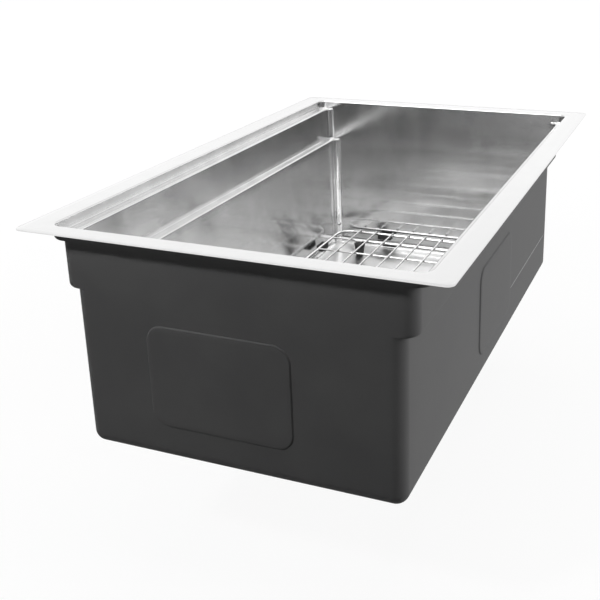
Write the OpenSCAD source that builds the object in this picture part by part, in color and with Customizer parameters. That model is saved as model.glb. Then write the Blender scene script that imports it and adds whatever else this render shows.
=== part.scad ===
// Undermount kitchen sink with two ledges along each long side, a basket
// strainer and a lift-out bottom grid.
// The origin is the centre of the opening, level with the top of the flange.
// X runs along the sink, +Y points to its back and +Z points up.

/* [Bowl] */
// Overall length of the flange
sink_length = 762; // [700:1:900]
// Overall width of the flange
sink_width = 482.6; // [470:0.2:520]
// Depth from the flange's top to the floor where it meets the walls
sink_depth = 256; // [220:1:280]
// Thickness of the steel sheet
sheet = 1.5; // [1.2:0.1:2]
// Width of the flange at each end
flange_end = 25; // [20:1:35]
// Width of the flange along each side
flange_side = 29; // [24:1:36]
// Radius of the flange's corners
flange_corner_r = 8; // [4:1:12]
// Inside radius of the upright corners and of the bend at the floor
corner_r = 12; // [10:1:14]
// Radius of the bend where the flange turns down into the bowl
rim_bend_r = 2; // [1.5:0.5:3]

/* [Ledges] */
// Depth of the upper ledge below the flange's top
upper_ledge_drop = 13; // [12:0.5:20]
// Width of the upper ledge
upper_ledge_w = 13.6; // [12:0.2:16]
// Depth of the lower ledge below the flange's top
lower_ledge_drop = 66; // [55:0.5:80]
// Width of the lower ledge
lower_ledge_w = 12.4; // [11:0.2:15]
// Radius of the bend at the lip of each ledge
lip_bend_r = 3; // [2:0.5:4]

/* [Floor and drain] */
// Fall of the creased floor from the walls to the drain
floor_fall = 4; // [2:0.5:6]
// Level border between the wall bend and the first crease
floor_border = 3; // [2:0.5:6]
// Half width of the flat square round the drain
drain_flat = 70; // [66:1:80]
// Radius of the drain hole
drain_hole_r = 45; // [44.5:0.25:46]
// Radius of the recess that the strainer's flange lies in
recess_r = 57.5; // [57:0.5:62]
// Depth of the recess
recess_depth = 3; // [2.5:0.25:4]

/* [Sound pads and coat] */
// Thickness of the sound pads
pad_t = 1.6; // [1:0.1:3]
// Thickness of the sprayed coat over the steel and the pads
coat = 1.2; // [0.8:0.1:1.6]
// Length of a wall pad
pad_length = 166; // [140:1:180]
// Height of a wall pad
pad_height = 116; // [90:1:122]
// Corner radius of the pads
pad_corner_r = 18; // [10:1:24]
// Depth of the end pads' centres below the flange's top
end_pad_drop = 157; // [150:1:166]
// Depth of the side pads' centres below the flange's top
side_pad_drop = 165; // [150:1:168]
// Distance of the end pads' centres from the sink's middle, towards the back
end_pad_shift = 16; // [0:1:30]
// Place of the side pads along the sink
side_pad_x = 7; // [-40:1:40]
// Length of a floor pad, along the sink
floor_pad_length = 200; // [120:1:230]
// Width of a floor pad, across the sink
floor_pad_width = 250; // [150:1:300]
// Place of the floor pads' centres along the sink
floor_pad_x = 200; // [190:1:205]
// Radius left bare round the drain
bare_r = 62; // [61:0.5:64]

/* [Strainer] */
// Radius of the strainer body's flange
strainer_flange_r = 56; // [54:0.5:56.5]
// Thickness of the strainer body's sheet
strainer_t = 1.4; // [1:0.1:1.6]
// Outer radius of the strainer body's threaded barrel
barrel_r = 43; // [42:0.25:43.5]
// Wall of the threaded barrel
barrel_wall = 2; // [1.6:0.1:2.4]
// Height of the threaded barrel
barrel_h = 32; // [30:1:40]
// Height of the tapered seat below the barrel
seat_h = 16; // [14:1:20]
// Outer radius of the outlet spigot
spigot_r = 22.8; // [22:0.2:24]
// Length of the outlet spigot
spigot_h = 16; // [14:1:20]
// Angle left solid between two drain slots
slot_bridge = 30; // [15:1:45]
// Thickness of the ring of sealant under the strainer's flange
seal_t = 1; // [0.6:0.1:1.4]
// Thickness of the rubber gasket
gasket_t = 3; // [2:0.5:4]
// Thickness of the friction washer
friction_t = 1; // [0.6:0.1:1.4]
// Height of the lock nut
lock_nut_h = 12; // [10:1:14]
// Outer radius of the lock nut's ring
lock_nut_r = 50; // [48:0.5:52]
// Number of lugs round the lock nut
lock_lugs = 6; // [4:1:8]
// Width of a lug of the lock nut
lug_w = 10; // [6:0.5:14]
// Reach of a lug beyond the lock nut's ring
lug_reach = 4.5; // [3:0.5:5]
// Number of drain slots through the strainer's foot
outlet_slots = 4; // [3:1:6]

/* [Tailpiece] */
// Outer diameter of the tailpiece
tailpiece_d = 38.1; // [38.1:0.1:40]
// Wall of the tailpiece
tailpiece_wall = 1.2; // [0.8:0.1:1.6]
// Length of the tailpiece below its flange
tailpiece_h = 100; // [60:1:150]
// Outer radius of the tailpiece's flange
tailpiece_flange_r = 21.6; // [21:0.1:21.8]
// Thickness of the tailpiece's flange
tail_flange_t = 1.5; // [1:0.1:2]
// Thickness of the tailpiece's washer
tail_washer_t = 2; // [1.5:0.5:3]
// Outer radius of the slip nut
slip_nut_r = 28; // [27:0.5:31]
// Height of the slip nut's grip on the outlet spigot
slip_nut_grip = 11; // [8:0.5:12]
// Thickness of the slip nut's lip under the tailpiece's flange
slip_nut_lip = 3; // [2:0.5:4]
// Number of ribs round the slip nut
slip_nut_ribs = 8; // [6:1:12]

/* [Basket] */
// Outer radius of the basket at its rim
basket_r = 38.5; // [36:0.5:39]
// Radius of the basket's bottom
basket_bottom_r = 27; // [26:0.5:28]
// Height of the basket
basket_h = 27; // [24:1:30]
// Thickness of the basket's sheet
basket_t = 0.9; // [0.7:0.1:1.2]
// Number of slots round the basket
basket_slots = 20; // [12:1:26]
// Width of a basket slot
basket_slot_w = 3; // [2:0.5:4]
// Number of holes in the basket's bottom
basket_holes = 12; // [6:1:14]
// Radius of a hole in the basket's bottom
basket_hole_r = 2; // [1.5:0.25:2.5]
// Thickness of the rubber stopper
stopper_t = 5; // [4:0.5:6]
// Radius of the basket's post
post_r = 4; // [3:0.25:4.5]
// Length of the post below the foot of the strainer
post_tail = 6; // [4:0.5:8]
// Radius of the basket's knob
knob_r = 9; // [8:0.5:11]

/* [Bottom grid] */
// Distance from the end walls to the middle of the perimeter wire
grid_end_gap = 11; // [10:0.5:16]
// Distance from the side walls to the middle of the perimeter wire
grid_side_gap = 14; // [12:0.5:18]
// Diameter of the perimeter wire
perimeter_wire_d = 5; // [4.5:0.5:6]
// Corner radius of the perimeter wire, at its middle
perimeter_corner_r = 25; // [20:1:32]
// Diameter of the other wires
wire_d = 3; // [2.5:0.25:3.5]
// Number of lengthwise wires
long_wires = 10; // [8:2:10]
// Distance from the side wire to the first lengthwise wire
long_edge_gap = 37; // [32:1:42]
// Number of cross wires
cross_wires = 9; // [7:2:9]
// Distance from the end wire to the first cross wire
cross_edge_gap = 105; // [98:1:110]
// Radius of the ring over the drain
drain_ring_r = 54; // [50:0.5:56]
// Height of the cross wires' middle above the floor's edge
grid_height = 26; // [25:1:34]
// Distance of the feet from the end wires
foot_inset = 45; // [40:1:60]
// Radius of a rubber foot at its top
foot_top_r = 9.6; // [8:0.2:10]
// Radius of a rubber foot at its sole
foot_sole_r = 6.25; // [5.5:0.25:7]
// Thickness of a rubber foot under its wire
sole_t = 4; // [3:0.5:6]
// Distance from the middle of a level leg wire down to the top of its feet
foot_top_drop = 5; // [4.5:0.25:7]
// Radius of the bends of a leg wire, at its middle
leg_bend_r = 4; // [3.5:0.25:4.25]
// Length of a rubber bumper along its wire
bumper_length = 24; // [16:1:25]
// Height of a rubber bumper
bumper_height = 10.5; // [9:0.5:13]
// Rise of a rubber bumper above the wire's middle
bumper_rise = 2; // [2:0.25:4]
// Reach of a rubber bumper from the wire's middle towards the wall
bumper_reach = 8; // [5:0.5:9]
// Distance of the side bumpers from the end wires
side_bumper_inset = 82; // [76:1:88]

/* [Fits] */
// Clearance between parts that lift out and what they rest on
rest_gap = 0.3; // [0.2:0.1:0.5]
// Radial clearance of the basket's post in the strainer's boss
post_fit = 0.3; // [0.1:0.05:0.5]
// Gap left at the touching lines of wires that lie across each other
weld_gap = 0.05; // [0.02:0.01:0.1]

/* [Hidden] */
$fn = 72;
open_l = sink_length - 2 * flange_end;
open_w = sink_width - 2 * flange_side;
mid_w = open_w - 2 * upper_ledge_w;
well_w = mid_w - 2 * lower_ledge_w;
floor_z = -sink_depth;
drain_z = floor_z - floor_fall;
recess_z = drain_z - recess_depth;
crease_x = open_l / 2 - corner_r - floor_border;
crease_y = well_w / 2 - corner_r - floor_border;
eps = 1;

strainer_z = recess_z + seal_t + strainer_t;
barrel_z = strainer_z - strainer_t - barrel_h;
foot_z = barrel_z - seat_h;
spigot_z = foot_z - spigot_h;
seat_r = spigot_r + strainer_t;
gasket_z = recess_z - sheet;
friction_z = gasket_z - gasket_t;
lock_nut_z = friction_z - friction_t;
boss_r = post_r + post_fit;
spigot_bore_r = spigot_r - barrel_wall;

tail_neck_h = 5;
tail_neck_grow = 0.6;
tail_washer_z = spigot_z - tail_washer_t;
tail_flange_z = tail_washer_z - tail_flange_t;
tailpiece_z = tail_flange_z - tailpiece_h;
slip_nut_top = spigot_z + slip_nut_grip;

foot_plate_z = foot_z + strainer_t;
bore_r = barrel_r - barrel_wall;
slot_in_r = boss_r + 3.5;
slot_out_r = spigot_bore_r - 1.5;
stopper_r = seat_r + 1.6;
clamp_h = 2;
clamp_r = post_r + 2;
washer_t = 1;
washer_r = post_r + 6;
stopper_z = foot_plate_z + rest_gap + clamp_h + washer_t;
basket_z = stopper_z + stopper_t;
basket_top = basket_z + basket_h;
post_top = basket_top + 2;

grid_half_l = open_l / 2 - grid_end_gap;
grid_half_w = well_w / 2 - grid_side_gap;
cross_z = floor_z + grid_height;
long_z = cross_z + wire_d + weld_gap;
perimeter_z = cross_z + wire_d / 2 - perimeter_wire_d / 2;
long_pitch = 2 * (grid_half_w - long_edge_gap) / (long_wires - 1);
cross_pitch = 2 * (grid_half_l - cross_edge_gap) / (cross_wires - 1);
outer_wire_y = grid_half_w - long_edge_gap;
foot_x = grid_half_l - foot_inset;
foot_y = round(100 * (outer_wire_y - long_pitch / 2)) / 100;
foot_floor_z = floor_height(foot_x + foot_sole_r, foot_y + foot_sole_r);
leg_bend_z = foot_floor_z + rest_gap + sole_t + wire_d / 2 + leg_bend_r;
leg_drop = round(100 * (cross_z - leg_bend_z)) / 100;
end_bumper_y = wire_y(long_wires - 2) - long_pitch / 2;
side_bumper_x = grid_half_l - side_bumper_inset;

// Height of the creased floor at a point: the higher of its two folds
function fold(p, reach) = min(1, max(0, (abs(p) - drain_flat) / (reach - drain_flat)));
function floor_height(x, y) = drain_z + floor_fall * max(fold(x, crease_x), fold(y, crease_y));
function wire_y(i) = -outer_wire_y + i * long_pitch;
function cross_x(i) = -(cross_wires - 1) / 2 * cross_pitch + i * cross_pitch;

// Outlines shared by the bowl, its coat and its pads

module rounded_rect(l, w, r) {
    square([l - 2 * r, w], center = true);
    square([l, w - 2 * r], center = true);
    for (sx = [-1, 1], sy = [-1, 1])
        translate([sx * (l / 2 - r), sy * (w / 2 - r)]) circle(r);
}

// One tier of the bowl, grown outwards by a layer
module tier(width, low, high, grow) {
    translate([0, 0, low]) linear_extrude(high - low)
        rounded_rect(open_l + 2 * grow, width + 2 * grow, corner_r + grow);
}

// Main well with its floor bend, a box rounded by spheres and cylinders
module well(grow) {
    r = corner_r + grow;
    x = open_l / 2 - corner_r;
    y = well_w / 2 - corner_r;
    tier(well_w, floor_z + corner_r, -lower_ledge_drop, grow);
    translate([0, 0, floor_z + corner_r]) {
        cube([2 * x, 2 * y, 2 * r], center = true);
        for (sx = [-1, 1], sy = [-1, 1]) translate([sx * x, sy * y, 0]) sphere(r);
        for (sy = [-1, 1]) translate([0, sy * y, 0]) rotate([0, 90, 0])
            cylinder(r = r, h = 2 * x, center = true);
        for (sx = [-1, 1]) translate([sx * x, 0, 0]) rotate([90, 0, 0])
            cylinder(r = r, h = 2 * y, center = true);
    }
}

// Folded line of the floor along one axis
module fold_profile(reach, grow) {
    polygon([[-reach, floor_z + eps], [-reach, floor_z - grow], [-drain_flat, drain_z - grow],
        [drain_flat, drain_z - grow], [reach, floor_z - grow], [reach, floor_z + eps]]);
}

// Four-way fall to the drain, creased from the corners to the flat square
module floor_fold(grow) {
    intersection() {
        rotate([90, 0, 0]) linear_extrude(2 * crease_y, center = true) fold_profile(crease_x, grow);
        rotate([90, 0, 90]) linear_extrude(2 * crease_x, center = true) fold_profile(crease_y, grow);
    }
}

// Round dish pressed into the floor for the strainer's flange
module recess(grow) {
    translate([0, 0, recess_z - grow])
        cylinder(r1 = recess_r + grow, r2 = recess_r + grow + recess_depth, h = recess_depth);
    translate([0, 0, recess_z - grow + recess_depth])
        cylinder(r = recess_r + grow + recess_depth, h = grow + eps);
}

// The whole bowl, grown outwards by a layer, up to a given height
module bowl_form(grow, top) {
    tier(open_w, -upper_ledge_drop - grow, top, grow);
    tier(mid_w, -lower_ledge_drop - grow, -upper_ledge_drop, grow);
    well(grow);
    floor_fold(grow);
    recess(grow);
}

// Section of the steel that a bend leaves out at an edge, edge at the origin
module bend_section(r) {
    difference() {
        translate([-eps, -r]) square([r + eps, r + eps]);
        translate([r, -r]) circle(r);
    }
}

// Bends along the two long edges of a tier's mouth, and round its corners
module side_bends(width, z, r) {
    x = open_l / 2 - corner_r;
    y = width / 2 - corner_r;
    for (m = [0, 1]) mirror([0, m, 0]) {
        translate([0, width / 2, z]) rotate([90, 0, 90])
            linear_extrude(2 * x, center = true) bend_section(r);
        for (n = [0, 1]) mirror([n, 0, 0]) translate([x, y, z])
            rotate_extrude(angle = 90) translate([corner_r, 0]) bend_section(r);
    }
}

module end_bends(z, r) {
    y = open_w / 2 - corner_r;
    for (n = [0, 1]) mirror([n, 0, 0]) translate([open_l / 2, 0, z]) rotate([90, 0, 0])
        linear_extrude(2 * y, center = true) bend_section(r);
}

// Everything inside the steel
module cavity() {
    bowl_form(0, eps);
    side_bends(open_w, 0, rim_bend_r);
    end_bends(0, rim_bend_r);
    intersection() {
        union() {
            side_bends(mid_w, -upper_ledge_drop, lip_bend_r);
            side_bends(well_w, -lower_ledge_drop, lip_bend_r);
        }
        cube([open_l, open_w, 2 * sink_depth], center = true);
    }
    cylinder(r = drain_hole_r, h = 3 * sink_depth, center = true);
}

module bowl_shell() {
    color("silver") difference() {
        union() {
            translate([0, 0, -sheet]) linear_extrude(sheet)
                rounded_rect(sink_length, sink_width, flange_corner_r);
            bowl_form(sheet, -sheet / 2);
        }
        cavity();
    }
}

// Prisms that give each pad its outline, grown by the coat where it covers them

module end_pad_area(side, grow) {
    translate([side * open_l / 2, end_pad_shift, -end_pad_drop]) rotate([90, 0, 90])
        linear_extrude(4 * corner_r, center = true)
        rounded_rect(pad_length + 2 * grow, pad_height + 2 * grow, pad_corner_r + grow);
}

module side_pad_area(side, grow) {
    translate([side_pad_x, side * well_w / 2, -side_pad_drop]) rotate([90, 0, 0])
        linear_extrude(4 * corner_r, center = true)
        rounded_rect(pad_length + 2 * grow, pad_height + 2 * grow, pad_corner_r + grow);
}

module floor_pad_areas(grow) {
    for (s = [-1, 1]) translate([s * floor_pad_x, 0, floor_z])
        linear_extrude(4 * corner_r, center = true)
        rounded_rect(floor_pad_length + 2 * grow, floor_pad_width + 2 * grow, pad_corner_r + grow);
}

module pad_areas(grow) {
    end_pad_area(-1, grow);
    end_pad_area(1, grow);
    side_pad_area(-1, grow);
    side_pad_area(1, grow);
    floor_pad_areas(grow);
}

// Layer of the bowl's skin between two depths of growth, inside an outline
module skin_layer(inner, outer) {
    difference() {
        intersection() {
            bowl_form(outer, -sheet);
            children();
        }
        bowl_form(inner, eps);
    }
}

module undercoat() {
    color("dimgray") difference() {
        union() {
            bowl_form(sheet + coat, -sheet);
            intersection() {
                bowl_form(sheet + pad_t + coat, -sheet);
                pad_areas(coat);
            }
        }
        bowl_form(sheet, eps);
        intersection() {
            bowl_form(sheet + pad_t, -sheet);
            pad_areas(0);
        }
        cylinder(r = bare_r + sheet + coat, h = 3 * sink_depth, center = true);
    }
}

module pad_near_end() {
    color("black") skin_layer(sheet, sheet + pad_t) end_pad_area(-1, 0);
}

module pad_far_end() {
    color("black") skin_layer(sheet, sheet + pad_t) end_pad_area(1, 0);
}

module pad_front() {
    color("black") skin_layer(sheet, sheet + pad_t) side_pad_area(-1, 0);
}

module pad_back() {
    color("black") skin_layer(sheet, sheet + pad_t) side_pad_area(1, 0);
}

module pads_floor() {
    color("black") skin_layer(sheet, sheet + pad_t) floor_pad_areas(0);
}

// Drain fittings, turned parts on the drain's axis

module ring(inner, outer, low, high) {
    translate([0, 0, low]) difference() {
        cylinder(r = outer, h = high - low);
        translate([0, 0, -eps]) cylinder(r = inner, h = high - low + 2 * eps);
    }
}

// Outside and inside of the strainer body as one turned section
module strainer_section() {
    throat_bend_r = 4;
    edge = 1;
    difference() {
        polygon([[bore_r, strainer_z], [strainer_flange_r - edge, strainer_z],
            [strainer_flange_r, strainer_z - strainer_t], [barrel_r, strainer_z - strainer_t],
            [barrel_r, barrel_z], [seat_r + strainer_t, foot_z], [boss_r, foot_z],
            [boss_r, foot_plate_z], [seat_r, foot_plate_z], [bore_r, barrel_z + strainer_t]]);
        translate([bore_r, strainer_z]) bend_section(throat_bend_r);
    }
}

module strainer_body() {
    color("lightgray") difference() {
        rotate_extrude() strainer_section();
        for (i = [0 : outlet_slots - 1]) rotate([0, 0, i * 360 / outlet_slots + slot_bridge / 2])
            translate([0, 0, foot_z - eps]) rotate_extrude(angle = 360 / outlet_slots - slot_bridge)
            translate([slot_in_r, 0]) square([slot_out_r - slot_in_r, strainer_t + 2 * eps]);
    }
}

// Threaded tube fixed under the strainer's foot by a collar
module outlet_spigot() {
    collar_h = 1.5;
    color("goldenrod") rotate_extrude()
        polygon([[spigot_bore_r, spigot_z], [spigot_r, spigot_z], [spigot_r, foot_z - 2 * collar_h],
            [seat_r, foot_z - collar_h], [seat_r, foot_z], [spigot_bore_r, foot_z]]);
}

module flange_seal() {
    squeeze = 2;
    color("white") ring(drain_hole_r, strainer_flange_r - squeeze, recess_z, recess_z + seal_t);
}

module rubber_gasket() {
    inset = 3;
    color("black") ring(barrel_r, recess_r - inset, gasket_z - gasket_t, gasket_z);
}

module friction_washer() {
    inset = 4;
    color("tan") ring(barrel_r, recess_r - inset, friction_z - friction_t, friction_z);
}

// Ring nut with a collar under the washer and square lugs to tap it round by
module lock_nut() {
    collar_h = 3;
    collar_w = 2;
    color("goldenrod") difference() {
        union() {
            translate([0, 0, lock_nut_z - lock_nut_h]) cylinder(r = lock_nut_r, h = lock_nut_h);
            translate([0, 0, lock_nut_z - collar_h]) cylinder(r = lock_nut_r + collar_w, h = collar_h);
            for (i = [0 : lock_lugs - 1]) rotate([0, 0, i * 360 / lock_lugs])
                translate([lock_nut_r, 0, lock_nut_z - lock_nut_h / 2])
                cube([2 * lug_reach, lug_w, lock_nut_h], center = true);
        }
        translate([0, 0, lock_nut_z - lock_nut_h - eps]) cylinder(r = barrel_r, h = lock_nut_h + 2 * eps);
    }
}

module tailpiece_washer() {
    color("ivory") ring(tailpiece_d / 2 - tailpiece_wall, tailpiece_flange_r, tail_washer_z, spigot_z);
}

module tailpiece() {
    r = tailpiece_d / 2;
    color("silver") rotate_extrude()
        polygon([[r - tailpiece_wall, tail_washer_z], [tailpiece_flange_r, tail_washer_z],
            [tailpiece_flange_r, tail_flange_z], [r + tail_neck_grow, tail_flange_z],
            [r, tail_flange_z - tail_neck_h], [r, tailpiece_z], [r - tailpiece_wall, tailpiece_z]]);
}

module slip_nut() {
    lip_z = tail_flange_z - slip_nut_lip;
    rib_h = 2;
    rib_r = 3;
    color("silver") difference() {
        union() {
            translate([0, 0, lip_z]) cylinder(r = slip_nut_r - rib_h, h = slip_nut_top - lip_z);
            for (i = [0 : slip_nut_ribs - 1]) rotate([0, 0, i * 360 / slip_nut_ribs])
                translate([slip_nut_r - rib_r, 0, lip_z])
                cylinder(r = rib_r, h = slip_nut_top - lip_z - rib_h);
        }
        translate([0, 0, tail_flange_z]) cylinder(r = spigot_r, h = slip_nut_top - tail_flange_z + eps);
        translate([0, 0, lip_z - eps])
            cylinder(r = tailpiece_d / 2 + tail_neck_grow, h = slip_nut_lip + 2 * eps);
    }
}

// Lift-out basket

// Turned cup with a rolled rim
module basket_section() {
    rim_r = 1.2;
    polygon([[post_r, basket_z], [basket_bottom_r, basket_z], [basket_r - rim_r, basket_top - rim_r],
        [basket_r - rim_r - basket_t, basket_top - rim_r],
        [basket_bottom_r - basket_t, basket_z + basket_t], [post_r, basket_z + basket_t]]);
    translate([basket_r - rim_r, basket_top - rim_r]) circle(rim_r, $fn = 24);
}

module basket_cup() {
    band_low = 4;
    band_high = 6;
    slot_low = basket_z + band_low;
    slot_high = basket_top - band_high;
    hole_ring = (clamp_r + basket_bottom_r) / 2;
    color("silver") difference() {
        rotate_extrude() basket_section();
        for (i = [0 : basket_slots - 1]) rotate([0, 0, (i + 0.5) * 360 / basket_slots])
            translate([basket_bottom_r / 2, -basket_slot_w / 2, slot_low])
            cube([basket_r, basket_slot_w, slot_high - slot_low]);
        for (i = [0 : basket_holes - 1]) rotate([0, 0, i * 360 / basket_holes])
            translate([hole_ring, 0, basket_z - eps])
            cylinder(r = basket_hole_r, h = basket_t + 2 * eps, $fn = 24);
    }
}

// Rubber stopper whose lip closes on the foot plate outside the outlet slots
module basket_stopper() {
    lip_z = foot_plate_z + rest_gap;
    lip_r = seat_r - 0.4;
    edge = 1.5;
    hollow_r = washer_r + 2;
    color("black") rotate_extrude()
        polygon([[post_r, basket_z], [stopper_r - edge, basket_z], [stopper_r, basket_z - edge],
            [lip_r, lip_z], [spigot_bore_r, lip_z], [hollow_r, stopper_z], [post_r, stopper_z]]);
}

module basket_washer() {
    color("silver") ring(post_r, washer_r, stopper_z - washer_t, stopper_z);
}

module basket_post() {
    tip_z = foot_z - post_tail;
    clamp_z = stopper_z - washer_t - clamp_h;
    edge = 1.5;
    color("silver") {
        rotate_extrude() polygon([[0, tip_z], [post_r - edge, tip_z], [post_r, tip_z + edge],
            [post_r, post_top - edge], [post_r - edge, post_top], [0, post_top]]);
        ring(post_r - eps, clamp_r, basket_z + basket_t, basket_z + basket_t + clamp_h);
        ring(post_r - eps, clamp_r, clamp_z, clamp_z + clamp_h);
    }
}

// Turned knob on the post's head: a waisted neck under a flat, round-edged top
module basket_knob() {
    neck_r = knob_r - 4;
    neck_h = 9;
    top_h = 4;
    low = post_top - neck_h + 1;
    high = low + neck_h + top_h;
    color("black") rotate_extrude() difference() {
        union() {
            difference() {
                translate([0, low]) square([knob_r - top_h / 2, neck_h]);
                translate([neck_r + neck_h / 2, low + neck_h / 2]) circle(neck_h / 2);
                translate([neck_r + neck_h / 2, low - eps]) square([knob_r, neck_h + eps]);
            }
            translate([0, high - top_h]) square([knob_r - top_h / 2, top_h]);
            translate([knob_r - top_h / 2, high - top_h / 2]) circle(top_h / 2);
        }
        translate([-eps, low - eps]) square([post_r + eps, post_top - low + eps]);
        translate([-2 * knob_r, low - eps]) square([2 * knob_r, high - low + 2 * eps]);
    }
}

// Bottom grid

// Straight round wire between two points
module rod(a, b, d) {
    v = b - a;
    len = norm(v);
    translate(a) rotate([0, acos(v[2] / len), atan2(v[1], v[0])]) cylinder(d = d, h = len);
}

module perimeter_loop() {
    x = grid_half_l - perimeter_corner_r;
    y = grid_half_w - perimeter_corner_r;
    translate([0, 0, perimeter_z]) {
        for (s = [-1, 1]) {
            translate([0, s * grid_half_w, 0]) rotate([0, 90, 0])
                cylinder(d = perimeter_wire_d, h = 2 * x, center = true);
            translate([s * grid_half_l, 0, 0]) rotate([90, 0, 0])
                cylinder(d = perimeter_wire_d, h = 2 * y, center = true);
        }
        for (m = [0, 1], n = [0, 1]) mirror([m, 0, 0]) mirror([0, n, 0]) translate([x, y, 0])
            rotate_extrude(angle = 90) translate([perimeter_corner_r, 0]) circle(d = perimeter_wire_d);
    }
}

module drain_loop() {
    translate([0, 0, cross_z]) rotate_extrude() translate([drain_ring_r, 0]) circle(d = wire_d);
}

module grid_perimeter_wire() {
    color("silver") perimeter_loop();
}

module grid_drain_ring() {
    color("silver") drain_loop();
}

// Distance from the middle at which a wire at this offset meets the drain ring
function ring_reach(offset) = sqrt(max(0, drain_ring_r * drain_ring_r - offset * offset));

// Lengthwise wires lie on the cross wires and stop over the drain ring
module grid_long_wires() {
    color("silver") for (i = [0 : long_wires - 1]) {
        y = wire_y(i);
        inner = ring_reach(y);
        for (s = [-1, 1]) {
            if (inner > 0 || s > 0)
                rod([s * grid_half_l, y, long_z],
                    [inner > 0 ? s * inner : -grid_half_l, y, long_z], wire_d);
        }
    }
}

// Cross wires run between the side wires and stop at the drain ring
module grid_cross_wires() {
    color("silver") difference() {
        for (i = [0 : cross_wires - 1]) {
            x = cross_x(i);
            if (abs(x) < drain_ring_r) {
                for (s = [-1, 1])
                    rod([x, s * ring_reach(x), cross_z], [x, s * grid_half_w, cross_z], wire_d);
            } else {
                rod([x, -grid_half_w, cross_z], [x, grid_half_w, cross_z], wire_d);
            }
        }
        perimeter_loop();
        drain_loop();
    }
}

// Dip of a leg wire into a foot: a bend down, a U and a bend back up to the level wire.
// Its drop is in whole hundredths, so that its straight and bent stretches meet exactly.
module leg_dip() {
    bend = leg_bend_r;
    translate([0, 0, -leg_drop]) rotate([90, 180, 90]) rotate_extrude(angle = 180)
        translate([bend, 0]) circle(d = wire_d);
    for (m = [0, 1]) mirror([0, m, 0]) {
        translate([0, bend, -leg_drop]) cylinder(d = wire_d, h = leg_drop - bend);
        translate([0, 2 * bend, -bend]) rotate([90, 0, 90]) rotate([0, 0, 90])
            rotate_extrude(angle = 90) translate([bend, 0]) circle(d = wire_d);
    }
}

// A leg wire runs level from side wire to side wire and dips into a foot near both ends
module leg_wires() {
    reach = 2 * leg_bend_r;
    for (sx = [-1, 1]) translate([sx * foot_x, 0, cross_z]) {
        rod([0, reach - foot_y, 0], [0, foot_y - reach, 0], wire_d);
        for (sy = [-1, 1]) {
            translate([0, sy * foot_y, 0]) leg_dip();
            rod([0, sy * (foot_y + reach), 0], [0, sy * grid_half_w, 0], wire_d);
        }
    }
}

module grid_leg_wires() {
    color("silver") difference() {
        leg_wires();
        perimeter_loop();
    }
}

// Tapered rubber boots moulded round the dips of the leg wires
module grid_feet() {
    low = foot_floor_z + rest_gap;
    color("black") difference() {
        for (sx = [-1, 1], sy = [-1, 1]) translate([sx * foot_x, sy * foot_y, low])
            cylinder(r1 = foot_sole_r, r2 = foot_top_r, h = cross_z - foot_top_drop - low);
        leg_wires();
    }
}

// Clip-on bumper hung on its wire: a rounded block with a groove open at the top
module bumper_section() {
    wall = 1.8;
    mouth = 0.7 * perimeter_wire_d;
    inner = perimeter_wire_d / 2 + wall;
    low = bumper_rise - bumper_height;
    r = 1.2;
    difference() {
        union() {
            translate([-inner + r, low]) square([inner + bumper_reach - 2 * r, bumper_height]);
            translate([-inner, low + r]) square([inner + bumper_reach, bumper_height - 2 * r]);
            for (x = [-inner + r, bumper_reach - r], z = [low + r, bumper_rise - r])
                translate([x, z]) circle(r, $fn = 32);
        }
        circle(d = perimeter_wire_d);
        translate([-mouth / 2, 0]) square([mouth, bumper_rise + eps]);
    }
}

module bumper() {
    rotate([90, 0, 0]) linear_extrude(bumper_length, center = true) bumper_section();
}

module grid_bumpers() {
    color("black") translate([0, 0, perimeter_z]) {
        for (m = [0, 1], s = [-1, 1]) mirror([m, 0, 0])
            translate([grid_half_l, s * end_bumper_y, 0]) bumper();
        for (m = [0, 1], s = [-1, 1]) mirror([0, m, 0])
            translate([s * side_bumper_x, grid_half_w, 0]) rotate([0, 0, 90]) bumper();
    }
}

bowl_shell();
undercoat();
pad_near_end();
pad_far_end();
pad_front();
pad_back();
pads_floor();
strainer_body();
outlet_spigot();
flange_seal();
rubber_gasket();
friction_washer();
lock_nut();
tailpiece_washer();
tailpiece();
slip_nut();
basket_cup();
basket_stopper();
basket_post();
basket_washer();
basket_knob();
grid_perimeter_wire();
grid_long_wires();
grid_cross_wires();
grid_drain_ring();
grid_leg_wires();
grid_feet();
grid_bumpers();
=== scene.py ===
# %% [markdown]
# An undermount kitchen sink, dressed round its construction model. The model
# gives every piece its real size and place. This lesson adds what the eye
# judges: brushed steel with soft bends, a sprayed sound coat over its pads,
# welded wire, rubber, brass and chrome.

# %% The frame
import math

import bpy
import numpy as np
from mathutils import Matrix, Vector


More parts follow.
